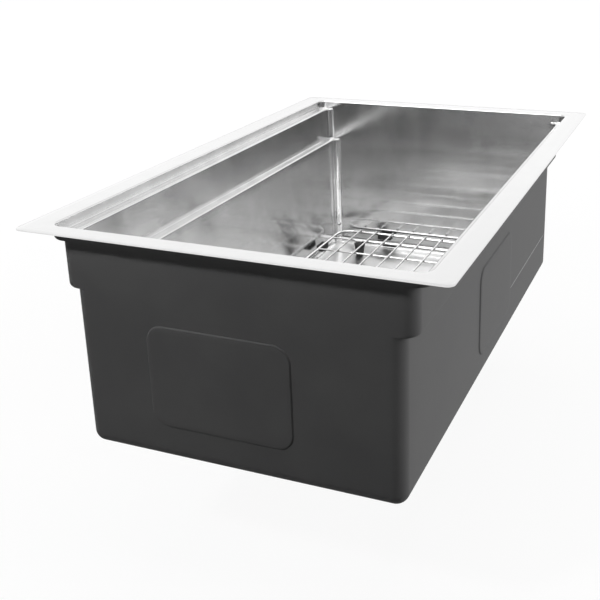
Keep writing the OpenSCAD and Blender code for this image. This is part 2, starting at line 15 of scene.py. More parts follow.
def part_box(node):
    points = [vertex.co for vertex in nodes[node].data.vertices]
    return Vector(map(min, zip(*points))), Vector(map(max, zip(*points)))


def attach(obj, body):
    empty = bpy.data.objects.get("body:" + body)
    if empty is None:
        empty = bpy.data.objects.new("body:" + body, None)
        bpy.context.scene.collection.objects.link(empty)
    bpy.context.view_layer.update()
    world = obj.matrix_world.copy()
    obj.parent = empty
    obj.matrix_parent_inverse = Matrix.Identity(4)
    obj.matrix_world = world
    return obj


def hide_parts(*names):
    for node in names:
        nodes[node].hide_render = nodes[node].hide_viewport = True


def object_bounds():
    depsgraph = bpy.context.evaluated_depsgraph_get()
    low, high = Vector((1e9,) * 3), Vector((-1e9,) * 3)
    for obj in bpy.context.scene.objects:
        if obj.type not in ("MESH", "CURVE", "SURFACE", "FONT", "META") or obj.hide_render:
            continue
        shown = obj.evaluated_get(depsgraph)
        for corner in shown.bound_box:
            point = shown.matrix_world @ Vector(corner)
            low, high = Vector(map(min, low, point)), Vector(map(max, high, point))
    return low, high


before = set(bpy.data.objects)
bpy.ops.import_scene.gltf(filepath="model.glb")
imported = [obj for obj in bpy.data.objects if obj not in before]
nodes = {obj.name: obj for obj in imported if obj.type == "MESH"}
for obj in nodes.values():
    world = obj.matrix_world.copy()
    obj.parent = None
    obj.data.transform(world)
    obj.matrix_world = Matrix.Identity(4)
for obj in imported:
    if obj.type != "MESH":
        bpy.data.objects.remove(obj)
cad_low, cad_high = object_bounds()
print("frame:", len(nodes), "nodes, box", [round(v, 4) for v in (*cad_low, *cad_high)])

# %% [markdown]
# The camera stands close to one end and looks along the sink, a little down.
# It could be placed by eye, but then edges drift by some pixels. So its place,
# turn and lens were worked out from the straight edges of the rim and the lower
# corners of the bowl. A lens given in pixels of the 600 by 600 picture becomes
# millimetres by way of the sensor's width, and the point where the line of
# sight meets the picture becomes a small shift.

# %% Camera
IMAGE = 600
FOCAL_PX = 932.76
CENTRE_PX = (356.42, 209.86)
SENSOR_MM = 36.0
EYE = Vector((-1.10993, -0.44781, 0.31406))
YAW, PITCH, ROLL = (math.radians(a) for a in (22.115, -17.80, -1.10))


def camera_axes(yaw, pitch, roll):
    """Right, up and forward of a camera turned by yaw about Z, by pitch, and by roll about its own
    line of sight."""
    forward = Vector((math.cos(pitch) * math.cos(yaw), math.cos(pitch) * math.sin(yaw), math.sin(pitch)))
    level = forward.cross(Vector((0, 0, 1))).normalized()
    upright = level.cross(forward)
    right = math.cos(roll) * level + math.sin(roll) * upright
    up = -math.sin(roll) * level + math.cos(roll) * upright
    return right, up, forward


scene = bpy.context.scene
right, up, forward = camera_axes(YAW, PITCH, ROLL)
lens = bpy.data.cameras.new("photo_lens")
lens.sensor_width = SENSOR_MM
lens.lens = FOCAL_PX / IMAGE * SENSOR_MM
lens.shift_x = (IMAGE / 2 - CENTRE_PX[0]) / IMAGE
lens.shift_y = (CENTRE_PX[1] - IMAGE / 2) / IMAGE
lens.clip_start, lens.clip_end = 0.05, 60.0
camera = bpy.data.objects.new("photo_camera", lens)
camera.matrix_world = Matrix.Translation(EYE) @ Matrix((right, up, -forward)).transposed().to_4x4()
scene.collection.objects.link(camera)
scene.camera = camera
scene.view_settings.view_transform = "Standard"
print("camera: lens", round(lens.lens, 2), "mm, shift", round(lens.shift_x, 4), round(lens.shift_y, 4))

# %% [markdown]
# Light and finishes are networks of nodes. Made one by one, each node takes
# three or four lines of code. One helper does it in a single call instead: it
# adds a node, sets it up, and feeds its inputs with numbers or with other nodes.


# %% Node helpers
def add_node(tree, kind, feeds=None, **settings):
    """A new shader node with its settings. Each input named in feeds gets a number or a socket."""
    node = tree.nodes.new("ShaderNode" + kind)
    for key, value in settings.items():
        setattr(node, key, value)
    for key, term in (feeds or {}).items():
        if isinstance(term, bpy.types.NodeSocket):
            tree.links.new(term, node.inputs[key])
        else:
            node.inputs[key].default_value = term
    return node


def math_node(tree, operation, *terms):
    """One sum; each term is a number or a socket."""
    return add_node(tree, "Math", dict(enumerate(terms)), operation=operation).outputs[0]


def ramp_node(tree, value, low, high, start=0.0, end=1.0, bend="SMOOTHSTEP"):
    """Start below low, end above high, and a smooth or a straight ramp between."""
    feeds = {"Value": value, "From Min": low, "From Max": high, "To Min": start, "To Max": end}
    return add_node(tree, "MapRange", feeds, interpolation_type=bend).outputs[0]


WHITE_RAYS = ("Is Camera Ray", "Is Glossy Ray", "Is Transmission Ray")


def ray_is(tree, kinds):
    """A value of one for the given kinds of ray and nought for the others."""
    path = add_node(tree, "LightPath")
    mask = path.outputs[kinds[0]]
    for kind in kinds[1:]:
        mask = math_node(tree, "MAXIMUM", mask, path.outputs[kind])
    return mask


print("rays that see white:", ", ".join(WHITE_RAYS))

# %% [markdown]
# The studio is a white room. The world is plain white where the camera and the
# steel see it, and much softer where it only lights matt surfaces: with one
# strength for both, either the dark coat washes out or the steel turns grey.
# Flat steel mirrors a lamp as a burnt-out patch, so the lamps that shape the
# coat and the rubber are hidden from it. The smallest lights the near end from
# above, so that the flange throws a dark band on the coat. The steel has its
# own cards to mirror, most of them about the camera.

# %% Studio air
AIR_ON_MATT = 0.04


def white_air(strength_on_matt):
    """A world that is white to look at and gives a softer light to matt surfaces."""
    world = bpy.data.worlds.new("studio_air")
    world.use_nodes = True
    tree = world.node_tree
    tree.nodes.clear()
    dim, full = (add_node(tree, "Background", {"Color": (1, 1, 1, 1), "Strength": strength}).outputs[0]
                 for strength in (strength_on_matt, 1.0))
    mix = add_node(tree, "MixShader", {0: ray_is(tree, WHITE_RAYS), 1: dim, 2: full})
    add_node(tree, "OutputWorld", {0: mix.outputs[0]})
    return world


scene.world = white_air(AIR_ON_MATT)
print("world:", scene.world.name, "with", AIR_ON_MATT, "of its light on matt surfaces")

# %% Lamps and cards
# Name, place, what it faces, size in metres, watts, and whether matt surfaces, steel or both see it
LAMPS = [
    ("lamp_over", (0.2, 0.0, 2.6), (0.1, 0, 0), (2.4, 2.4), 46, "matt"),
    ("lamp_front", (0.5, -2.4, 0.4), (0.05, 0, -0.12), (1.3, 1.2), 42, "matt"),
    ("lamp_near", (-1.25, 0.55, 0.95), (-0.36, 0, -0.1), (0.16, 0.16), 8.6, "matt"),
    ("panel_near", (-2.3, 1.0, 0.9), (0.1, 0, -0.1), (2.4, 1.6), 10, "steel"),
    ("card_left", (-2.65, 1.75, 2.2), (0, 0, 0), (2.8, 2.2), 25, "steel"),
    ("card_right", (-2.65, -1.75, 2.2), (0, 0, 0), (2.8, 2.2), 26, "steel"),
    ("card_high", (-1.5, 1.15, 2.6), (0, 0, -0.2), (2.2, 2.4), 52, "steel"),
    ("panel_far", (2.6, 1.5, 1.3), (0, 0, 0), (4.0, 2.2), 4, "both"),
    ("card_far", (2.2, -1.6, 0.9), (0, 0.1, 0), (3.0, 1.4), 4, "steel"),
    ("lamp_back", (0.9, 2.8, 0.9), (0.1, 0, -0.15), (1.6, 1.2), 20, "matt"),
]


def soft_lamp(name, place, target, size, watts, seen_by):
    """A flat lamp that faces its target and stays out of the picture."""
    data = bpy.data.lights.new(name, "AREA")
    data.shape = "RECTANGLE"
    data.size, data.size_y = size
    data.energy = watts
    lamp = bpy.data.objects.new(name, data)
    lamp.location = place
    lamp.rotation_euler = (Vector(target) - Vector(place)).to_track_quat("-Z", "Y").to_euler()
    lamp.visible_camera = False
    lamp.visible_diffuse = seen_by != "steel"
    lamp.visible_glossy = seen_by != "matt"
    scene.collection.objects.link(lamp)


for lamp in LAMPS:
    soft_lamp(*lamp)
print("studio:", len(LAMPS), "lamps and cards")

# %% [markdown]
# The floor is a plain sheet at the level of the tailpiece's end. A truly white
# one would throw light up at the dark coat, so its own colour is dark, and only
# the rays that look at it see it lifted to white. The soft shadow of the hanging
# sink stays on it. From below it is clear, so that the underside can be seen.

# %% Floor
FLOOR_HALF = 9.0
FLOOR_SOCKETS = {"Base Color": (0.08, 0.08, 0.08, 1), "Roughness": 0.95, "Specular IOR Level": 0.0,
                 "Emission Color": (1, 1, 1, 1)}
LIFT_FROM, LIFT_TO, LIFT_NEAR, LIFT_FAR = 0.7, 3.0, 0.92, 1.0


def floor_finish():
    """Dull for stray light, near white for the eye and clear from below. The lift grows with the distance
    from the middle, where the lamps no longer reach, so the white is even."""
    finish = bpy.data.materials.new("pale_floor")
    finish.use_nodes = True
    tree = finish.node_tree
    shader = tree.nodes["Principled BSDF"]
    for key, value in FLOOR_SOCKETS.items():
        shader.inputs[key].default_value = value
    place = add_node(tree, "TexCoord").outputs["Object"]
    far = add_node(tree, "VectorMath", {0: place}, operation="LENGTH").outputs["Value"]
    grow = ramp_node(tree, far, LIFT_FROM, LIFT_TO, LIFT_NEAR, LIFT_FAR, "LINEAR")
    lift = math_node(tree, "MULTIPLY", ray_is(tree, WHITE_RAYS), grow)
    tree.links.new(lift, shader.inputs["Emission Strength"])
    below = add_node(tree, "NewGeometry").outputs["Backfacing"]
    clear = add_node(tree, "BsdfTransparent").outputs[0]
    seen = add_node(tree, "MixShader", {0: below, 1: shader.outputs[0], 2: clear})
    tree.links.new(seen.outputs[0], tree.nodes["Material Output"].inputs["Surface"])
    return finish


def pale_floor(level):
    """A level square sheet of one face."""
    h = FLOOR_HALF
    mesh = bpy.data.meshes.new("floor")
    mesh.from_pydata([(-h, -h, level), (h, -h, level), (h, h, level), (-h, h, level)], [], [(0, 1, 2, 3)])
    mesh.materials.append(floor_finish())
    sheet = bpy.data.objects.new("floor", mesh)
    scene.collection.objects.link(sheet)


pale_floor(cad_low.z)
print("floor at", round(cad_low.z, 4))

# %% [markdown]
# Every new surface is a grid of points: rows that follow one another down a
# profile, and columns that go round. Subdivision could round a rough cage, but
# it moves edges away from their sizes, while a formula keeps them. The helpers
# join neighbours into faces, close the grid round, and cap it with poles.


# %% Faces of a grid
def grid_faces(rows, columns, flip=False):
    """Corners of the faces of a grid that is closed round: row i to i+1, column j to j+1."""
    i, j = np.meshgrid(np.arange(rows - 1), np.arange(columns), indexing="ij")
    k = (j + 1) % columns
    faces = np.stack([i * columns + j, i * columns + k, (i + 1) * columns + k, (i + 1) * columns + j], -1)
    faces = faces.reshape(-1, 4)
    return (faces[:, ::-1] if flip else faces).tolist()


def capped(rings, poles):
    """Points and faces of closed rings and of the triangles to a pole at either end, the last two points."""
    rows, columns = rings.shape[:2]
    j = np.arange(columns)
    k = (j + 1) % columns
    first = rows * columns
    near = np.stack([0 * j + first, k, j], -1)
    far = np.stack([0 * j + first + 1, first - columns + j, first - columns + k], -1)
    faces = grid_faces(rows, columns) + np.stack([near, far], 1).reshape(-1, 3).tolist()
    return np.concatenate([rings.reshape(-1, 3), poles]), faces


def gather(parts):
    """Joins lists of points and faces into one."""
    points, faces, start = [], [], 0
    for part_points, part_faces in parts:
        points.append(part_points)
        faces += [[start + corner for corner in face] for face in part_faces]
        start += len(part_points)
    return np.concatenate(points), faces


def new_piece(name, points, faces, body, slot, smooth_angle=35.0):
    """A mesh object at the origin that rides on a body; edges sharper than the angle stay crisp."""
    mesh = bpy.data.meshes.new(name)
    mesh.from_pydata(points.reshape(-1, 3).tolist(), [], faces)
    mesh.validate()
    mesh.shade_smooth()
    mesh.set_sharp_from_angle(angle=math.radians(smooth_angle))
    piece = bpy.data.objects.new(name, mesh)
    scene.collection.objects.link(piece)
    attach(piece, body)
    print(name, len(mesh.vertices), "points,", len(mesh.polygons), "faces")
    return piece


print("a closed 3 by 8 grid:", len(grid_faces(3, 8)), "faces")


# %% Lines and bends
def arc(centre, radius, start, end, count):
    """Points of a round bend in a profile, from one angle to another in degrees, the first left out."""
    a = np.radians(np.linspace(start, end, count + 1)[1:])
    return np.stack([centre[0] + radius * np.cos(a), centre[1] + radius * np.sin(a)], -1)


def straight(a, b, count):
    """Points of a straight stretch of a profile, the first left out."""
    t = np.linspace(0, 1, count + 1)[1:, None]
    return np.asarray(a) * (1 - t) + np.asarray(b) * t


def ease(t):
    """A smooth step: nought at nought, one at one, and level at both."""
    return t * t * (3 - 2 * t)


def running_sum(steps):
    """Sums of the steps so far, from nought."""
    return np.concatenate([[0], np.cumsum(steps)])


def rounded_columns(end, side, corner_steps):
    """Columns round a rectangle with round corners: the shares of its half sizes at which each column's
    centre lies, and its angle. They go up an end, round a corner, along a side, and on round."""
    bend = np.linspace(0, 90, corner_steps + 1)[1:-1]
    on_end, on_side, on_bend = (np.ones(len(part)) for part in (end, side, bend))
    ux = [on_end, on_bend, side, -on_bend, -on_end, -on_bend, -side, on_bend]
    uy = [end, on_bend, on_side, on_bend, -end, -on_bend, -on_side, -on_bend]
    angle = [0 * on_end, bend, 90 * on_side, 90 + bend, 180 * on_end, 180 + bend, 270 * on_side, 270 + bend]
    return np.concatenate(ux), np.concatenate(uy), np.radians(np.concatenate(angle))


print("a quarter bend:", arc((0, 0), 1, 0, 90, 3).round(2).tolist())

# %% [markdown]
# The bowl is pressed and welded from one sheet: a flat flange, two narrow
# ledges along each long side, straight end walls, and a floor that falls along
# four creases to the drain. It could be a box with bevels, but its ledges fade
# out at the ends and its bends differ. Its plan at every level is a rectangle
# with round corners, so the surface is a stack of such outlines.

# %% Sizes of the bowl, in metres
OPEN_HALF_L, OPEN_HALF_W = 0.356, 0.2123
FLANGE_HALF_L, FLANGE_HALF_W = 0.381, 0.2413
FLANGE_CORNER, CORNER, RIM_BEND, LIP_BEND, ROOT_BEND = 0.008, 0.012, 0.002, 0.003, 0.0012
UPPER_DROP, UPPER_W = 0.013, 0.0136
LOWER_DROP, LOWER_W = 0.066, 0.0124
MID_HALF_W = OPEN_HALF_W - UPPER_W
WELL_HALF_W = MID_HALF_W - LOWER_W
DEPTH, FALL, BORDER, DRAIN_FLAT = 0.256, 0.004, 0.003, 0.070
RECESS_R, RECESS_DEPTH, DRAIN_HOLE_R = 0.0575, 0.003, 0.045
STEEL = 0.0015
CREASE_X = OPEN_HALF_L - CORNER - BORDER
CREASE_Y = WELL_HALF_W - CORNER - BORDER
print("well", round(2 * OPEN_HALF_L, 4), "by", round(2 * WELL_HALF_W, 4), "m, depth", DEPTH)

# %% Columns round the bowl
END_STEPS, SIDE_STEPS, CORNER_STEPS = 22, 34, 12
UX, UY, ANGLE = rounded_columns(np.sin(np.linspace(-1, 1, END_STEPS + 1) * math.pi / 2),
                                np.linspace(1, -1, SIDE_STEPS + 1), CORNER_STEPS)
COLUMNS = len(UX)
SIDE_COLUMN = COLUMNS // 4
ON_END, ON_SIDE = (np.isclose(np.abs(part), 1.0) for part in (np.cos(ANGLE), np.sin(ANGLE)))
print("columns round the bowl:", COLUMNS, "of which on the ends:", ON_END.sum())

# %% Stacks of outlines
END_BLEND = 0.2


def stack_outlines(stations):
    """Rounded rectangles, one per station (half length, half width, corner radius, level at the sides,
    level at the ends). A point is its corner's centre plus the radius along its angle. On an end wall
    the level runs smoothly from the side's to the end's within a fifth of the width."""
    hx, hy, r, z_side, z_end = (stations[:, k, None] for k in range(5))
    x = UX * (hx - r) + r * np.cos(ANGLE)
    y = UY * (hy - r) + r * np.sin(ANGLE)
    z = z_side + (z_end - z_side) * ease(np.clip((1 - np.abs(UY)) / END_BLEND, 0, 1) * ON_END)
    return np.stack([x, y, z], -1)


def rows_of(*terms):
    """Rows with one column per term; each term is a number or a row of numbers."""
    return np.column_stack(np.broadcast_arrays(*terms))


def level_rows(half_l, half_w, radius, level):
    """Stations with one level all round."""
    return rows_of(half_l, half_w, radius, level, level)


def with_end_levels(profile, half_l, radius):
    """Stations of a tier from its (half width, level) profile. The end wall has no ledge, so there the
    rows come down evenly: their level falls in step with the length of the profile."""
    length = running_sum(np.linalg.norm(np.diff(profile, axis=0), axis=1))
    rows = level_rows(half_l, profile[:, 0], radius, profile[:, 1])
    rows[:, 4] = profile[0, 1] + (profile[-1, 1] - profile[0, 1]) * length / length[-1]
    return rows


def step_profile(outer, top, bend, inner, level, counts):
    """(Half width, level) points down a wall from its top, round a bend and in along a ledge."""
    down, turn, along = counts
    return np.concatenate([
        [(outer, top)], straight((outer, top), (outer, level + bend), down),
        arc((outer - bend, level + bend), bend, 0, -90, turn),
        straight((outer - bend, level), (inner, level), along)])


print("the opening's station:", level_rows(OPEN_HALF_L, OPEN_HALF_W, CORNER, 0).tolist())

# %% The creased floor
BORDER_CORNER, DRAIN_CORNER, LEAST_CORNER = 0.0012, 0.010, 0.0008


def floor_fold(p, reach):
    """Nought on the flat round the drain and one at the crease line near the wall."""
    return np.clip((np.abs(p) - DRAIN_FLAT) / (reach - DRAIN_FLAT), 0, 1)


def floor_level(x, y):
    """Level of the creased floor: the higher of its lengthwise and its crosswise fold."""
    return -DEPTH - FALL + FALL * np.maximum(floor_fold(x, CREASE_X), floor_fold(y, CREASE_Y))


def well_stations(top, grow):
    """Stations of the well from the top of its wall: the wall, the round bend, the level border, and the
    creased fall as outlines that shrink in step from the border to the square round the drain."""
    wall = level_rows(OPEN_HALF_L + grow, WELL_HALF_W + grow, CORNER + grow,
                      np.linspace(top, CORNER - DEPTH, 15)[1:])
    a = np.radians(np.linspace(0, 90, 13)[1:])
    out, down = (CORNER + grow) * np.cos(a), (CORNER + grow) * np.sin(a)
    bend = level_rows(OPEN_HALF_L - CORNER + out, WELL_HALF_W - CORNER + out, np.maximum(out, LEAST_CORNER),
                      CORNER - DEPTH - down)
    t = np.linspace(0, 1, 19)
    fall = level_rows(CREASE_X + (DRAIN_FLAT - CREASE_X) * t, CREASE_Y + (DRAIN_FLAT - CREASE_Y) * t,
                      BORDER_CORNER + (DRAIN_CORNER - BORDER_CORNER) * t, -DEPTH - grow - FALL * t)
    return np.concatenate([wall, bend, fall])


def circles_below(points, circles):
    """Adds round rows under a stack: each column keeps the bearing that it has in the stack's last row."""
    bearing = np.arctan2(points[-1, :, 1], points[-1, :, 0])
    radius, level = (np.array(circles)[:, k, None] for k in (0, 1))
    rows = [radius * np.cos(bearing), radius * np.sin(bearing), level + 0 * bearing]
    return np.concatenate([points, np.stack(rows, -1)])


print("the floor falls from", -DEPTH, "to", floor_level(0, 0), "at the drain")

# %% The bowl's stations
# Half length, half width and corner radius of the rows on the flat flange, from its edge inwards
FLANGE_ROWS = ((FLANGE_HALF_L, FLANGE_HALF_W, FLANGE_CORNER), (0.3745, 0.2345, 0.0105),
               (0.3645, 0.2215, 0.0130))
# Half width, width of the ledge and its level, for the upper and the lower tier
TIERS = ((OPEN_HALF_W, UPPER_W, UPPER_DROP), (MID_HALF_W, LOWER_W, LOWER_DROP))


def bowl_stations():
    """All stations of the steel's upper face, from the flange's outer edge to the square at the drain."""
    rim = np.radians(np.linspace(0, 90, 7))
    out = RIM_BEND * (1 - np.sin(rim))
    rows = [level_rows(*np.transpose(FLANGE_ROWS), 0.0),
            level_rows(OPEN_HALF_L + out, OPEN_HALF_W + out, CORNER + out, -RIM_BEND * (1 - np.cos(rim)))]
    for (half_w, width, drop), top, steps in zip(TIERS, (-RIM_BEND, -UPPER_DROP - LIP_BEND), (4, 8)):
        inner = half_w - width
        ledge = step_profile(half_w, top, ROOT_BEND, inner + LIP_BEND, -drop, (steps, 5, 5))
        rows.append(with_end_levels(ledge, OPEN_HALF_L, CORNER))
        lip = arc((inner + LIP_BEND, -drop - LIP_BEND), LIP_BEND, 90, 180, 8)
        rows.append(level_rows(OPEN_HALF_L, lip[:, 0], CORNER, lip[:, 1]))
    return np.concatenate([*rows, well_stations(-LOWER_DROP - LIP_BEND, 0.0)])


# Radii of the rings on the flat round the dish and on the dish's bottom
FLAT_RINGS, DISH_RING = (0.0675, 0.0640), 0.051
# Steps (outwards, up) from the dish's sharp upper and lower edge to the points of their soft bends
UPPER_EDGE = ((0.0012, 0), (0, -0.0002), (-0.0008, -0.0007))
LOWER_EDGE = ((0.0008, 0.0007), (0, 0.0002), (-0.0010, 0))


def recess_circles():
    """Circles of the dish pressed in for the strainer's flange, down to the drain hole."""
    top_r, top = RECESS_R + RECESS_DEPTH, -DEPTH - FALL
    bottom = top - RECESS_DEPTH
    circles = [(r, top) for r in FLAT_RINGS]
    circles += [(top_r + out, top + up) for out, up in UPPER_EDGE]
    circles += [(RECESS_R + out, bottom + up) for out, up in LOWER_EDGE]
    return circles + [(DISH_RING, bottom), (DRAIN_HOLE_R, bottom)]


bowl_points = circles_below(stack_outlines(bowl_stations()), recess_circles())
bowl = new_piece("steel_bowl", bowl_points, grid_faces(len(bowl_points), COLUMNS), "bowl", "steel")
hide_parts("bowl_shell")

# %% [markdown]
# Brushing has a direction, so the steel needs a map that knows it. The sheet was
# brushed lengthways before it was folded, so U runs across the grain all over:
# up and down on the long walls and from side to side on the end walls. A box
# projection would break the grain at every bend. Places with a finish of their
# own are masks painted on the points, because they follow the rows.

# %% The brushing's map
# The column whose profile gives the length down, and the row on the top wall that gives the length round
MAP_COLUMN, WALL_ROW = SIDE_COLUMN + 12, 12


def brush_map(mesh, points):
    """U is Y on the end walls and the length down the profile everywhere else. V is the other way: down
    on the end walls and the length round the top wall everywhere else."""
    down = running_sum(np.abs(np.diff(points[:, MAP_COLUMN], axis=0)).sum(1))
    around = running_sum(np.linalg.norm(np.diff(points[WALL_ROW], axis=0), axis=1))
    i, j = np.meshgrid(np.arange(len(points) - 1), np.arange(COLUMNS), indexing="ij")
    k = (j + 1) % COLUMNS
    end_face = ON_END[j] & ON_END[k] & (np.cos(ANGLE[j]) * np.cos(ANGLE[k]) > 0)
    corners = []
    for a, b in ((i, j), (i, k), (i + 1, k), (i + 1, j)):
        across = np.where(end_face, points[a, b, 1], down[a])
        corners.append(np.stack([across, np.where(end_face, down[a], around[b])], -1))
    layer = mesh.uv_layers.new(name="brushing")
    layer.data.foreach_set("uv", np.stack(corners, 2).ravel())


brush_map(bowl.data, bowl_points)
print("map:", bowl.data.uv_layers[0].name)

# %% Masks for the steel
# The least step in level from row to row that counts as upright, and a margin round the masks' edges
STEEP, MARGIN = 0.0010, 0.0015


def finish_masks(points):
    """Polish is one where the upright corners were polished after welding. Satin is one on the low wall
    between the flange and the upper ledge, and on the floor: they are duller. Sanded is one on the
    flange, which is bright all over, and fades out down its inner bend."""
    level = points[:, SIDE_COLUMN, 2, None]
    upright = (level < -RIM_BEND) & (level > CORNER - DEPTH) & (np.abs(np.gradient(level, axis=0)) > STEEP)
    low_wall = (level < -MARGIN) & (level > ROOT_BEND - UPPER_DROP)
    return {
        "polish": upright & ~ON_END & ~ON_SIDE,
        "satin": (low_wall & ON_SIDE) | (level < MARGIN - DEPTH),
        "sanded": np.clip(1 + level / RIM_BEND, 0, 1) + 0 * ANGLE,
    }


for label, values in finish_masks(bowl_points).items():
    layer = bowl.data.attributes.new(label, "FLOAT", "POINT")
    layer.data.foreach_set("value", values.astype(np.float32).ravel())
    print("mask", label, "covers", round(100 * float(values.mean())), "% of the points")

# %% Wall thickness
EDGE_ROUND = 0.0002


def thicken(piece, thickness):
    """Gives a sheet its wall, on the side that its faces turn away from."""
    wall = piece.modifiers.new("wall", "SOLIDIFY")
    wall.thickness = thickness
    wall.offset = -1
    print(piece.name, "has a wall of", thickness)


def break_edges(piece, width):
    """Rounds the cut edges of a wall a little."""
    soft = piece.modifiers.new("edges", "BEVEL")
    soft.width = width
    soft.segments = 2
    soft.limit_method = "ANGLE"
    soft.angle_limit = math.radians(60)


thicken(bowl, STEEL)
break_edges(bowl, EDGE_ROUND)

# %% [markdown]
# Outside, the steel wears a thick sprayed coat. A copy of the bowl pushed
# outwards would keep its crisp steps, but a sprayed skin rounds them off and
# swells over the sound pads. So the coat is a second stack of outlines with
# bends of its own, and each pad's swelling is a patch of rings that rises from
# the coat in a soft S.

# %% Sizes of the coat
COAT = 0.0012
SKIN = STEEL + COAT
COAT_WALL, STEP_ROUND, LEDGE_HOLLOW = 0.0009, 0.0040, 0.0015
PAD_T, PAD_CORNER, PAD_SPREAD, FOOT_SUNK = 0.0016, 0.018, 0.0022, 0.00012
PAD_HALF_L, PAD_HALF_H = 0.083, 0.058
END_PAD_DROP, SIDE_PAD_DROP, END_PAD_Y, SIDE_PAD_X = 0.157, 0.165, 0.016, 0.007
FLOOR_PAD_HALF_L, FLOOR_PAD_HALF_W, FLOOR_PAD_X = 0.100, 0.125, 0.200
COAT_RINGS = (0.0685, 0.0665, 0.0647)
print("the coat's outer face stands", round(SKIN, 4), "m outside the steel's inner one")


# %% The coat's surface
def coat_stations():
    """Stations of the coat's outer face, from under the flange to the square at the drain."""
    rows = []
    tops = (-STEEL, -UPPER_DROP - SKIN - LEDGE_HOLLOW)
    for (half_w, width, drop), top, steps in zip(TIERS, tops, (3, 8)):
        outer, inner, low = half_w + SKIN, half_w - width + SKIN, -drop - SKIN
        ledge = step_profile(outer, top, STEP_ROUND, inner + LEDGE_HOLLOW, low, (steps, 6, 3))
        hollow = arc((inner + LEDGE_HOLLOW, low - LEDGE_HOLLOW), LEDGE_HOLLOW, 90, 180, 4)
        rows.append(with_end_levels(np.concatenate([ledge, hollow]), OPEN_HALF_L + SKIN, CORNER + SKIN))
    return np.concatenate([*rows, well_stations(-LOWER_DROP - SKIN - LEDGE_HOLLOW, SKIN)])


under_z = -DEPTH - FALL - SKIN
coat_points = circles_below(stack_outlines(coat_stations()), [(r, under_z) for r in COAT_RINGS])
coat_faces = grid_faces(len(coat_points), COLUMNS, flip=True)
coat_skin = new_piece("sound_coat", coat_points, coat_faces, "bowl", "coat")
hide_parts("undercoat")
thicken(coat_skin, COAT_WALL)

# %% The swellings over the pads
PATCH_LINE = np.linspace(-1, 1, 15)
PATCH_U, PATCH_V, PATCH_ANGLE = rounded_columns(PATCH_LINE, -PATCH_LINE, 12)
RISE = np.linspace(0, 1, 9)
# How far the first rings of the top lie inside its edge, and the shares that the last ones shrink to
TOP_INSETS = np.array([0.006, 0.012, 0.0165])
TOP_SHRINKS = np.array([0.75, 0.45, 0.15])


def pad_patch(half_u, half_v):
    """Rings of a swelling in its own plane: (u, v, height). The height goes from just under the coat to
    the pad's thickness as a smooth step over the spread, and shrinking rings close the top."""
    outward = np.concatenate([PAD_SPREAD * (1 - RISE), -TOP_INSETS])[:, None]
    r = PAD_CORNER + outward
    u = PATCH_U * (half_u - PAD_CORNER) + r * np.cos(PATCH_ANGLE)
    v = PATCH_V * (half_v - PAD_CORNER) + r * np.sin(PATCH_ANGLE)
    shrink = TOP_SHRINKS[:, None]
    u, v = (np.concatenate([rings, shrink * rings[-1]]) for rings in (u, v))
    slope = (PAD_T + FOOT_SUNK) * ease(RISE) - FOOT_SUNK
    height = np.concatenate([slope, np.full(len(u) - len(slope), PAD_T)])[:, None]
    return np.stack([u, v, height + 0 * u], -1)


def closed_patch(patch):
    """Points and faces of a ring patch, with its middle closed by one face."""
    rows, columns = patch.shape[:2]
    middle = list(range((rows - 1) * columns, rows * columns))
    return patch.reshape(-1, 3), grid_faces(rows, columns) + [middle]


def pads_on_bowl():
    """Patches on both end walls, both side walls and under the floor."""
    wall, under = pad_patch(PAD_HALF_L, PAD_HALF_H), pad_patch(FLOOR_PAD_HALF_L, FLOOR_PAD_HALF_W)
    patches = []
    for s in (-1, 1):
        x = s * (OPEN_HALF_L + SKIN + wall[..., 2])
        patches.append(np.stack([x, END_PAD_Y + s * wall[..., 0], wall[..., 1] - END_PAD_DROP], -1))
        y = s * (WELL_HALF_W + SKIN + wall[..., 2])
        patches.append(np.stack([SIDE_PAD_X - s * wall[..., 0], y, wall[..., 1] - SIDE_PAD_DROP], -1))
        x, y = s * FLOOR_PAD_X + under[..., 0], -under[..., 1]
        patches.append(np.stack([x, y, floor_level(x, y) - SKIN - under[..., 2]], -1))
    return gather([closed_patch(patch) for patch in patches])


pad_coat = new_piece("coat_over_pads", *pads_on_bowl(), "bowl", "coat", 80)

# %% [markdown]
# The grid stands on four rubber boots and keeps off the walls by eight clip-on
# bumpers. Bevelled boxes and cones would do from afar, but these catch soft
# lights on their round edges. A boot is turned: one profile carried round an
# upright line. A bumper is pressed: one section carried along its wire, a little
# smaller at its ends.

# %% Sizes of the grid's rubber
MM = 0.001
GRID_HALF_L, GRID_HALF_W, WIRE, RIM_WIRE = (v * MM for v in (345, 172.3, 3, 5))
CROSS_Z, RIM_Z = -230 * MM, -231 * MM
BOOT_TOP_R, SOLE_R, BOOT_EDGE, BOOT_SLACK = (v * MM for v in (9.6, 6.25, 0.9, 0.05))
# The moulded bead's points, from its foot up: in from the top's radius and down from the top, in mm
BOOT_BEAD = ((0.9, 3.9), (0.55, 3.2), (0.36, 2.2))
boot_low, boot_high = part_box("grid_feet")
BOOT_X, BOOT_Y = boot_high.x - BOOT_TOP_R, boot_high.y - BOOT_TOP_R
print("boots", round(BOOT_X, 4), round(BOOT_Y, 4), "from", round(boot_low.z, 4), "to", round(boot_high.z, 4))


# %% Boots
def lathe(profile, count):
    """Carries a (radius, level) profile round the Z axis; its first and last points are poles on the axis."""
    a = np.linspace(0, 2 * math.pi, count, endpoint=False)
    r, z = profile[1:-1, 0, None], profile[1:-1, 1, None]
    rings = np.stack([r * np.cos(a), r * np.sin(a), z + 0 * a], -1)
    poles = [(0, 0, profile[0, 1]), (0, 0, profile[-1, 1])]
    return capped(rings, poles)


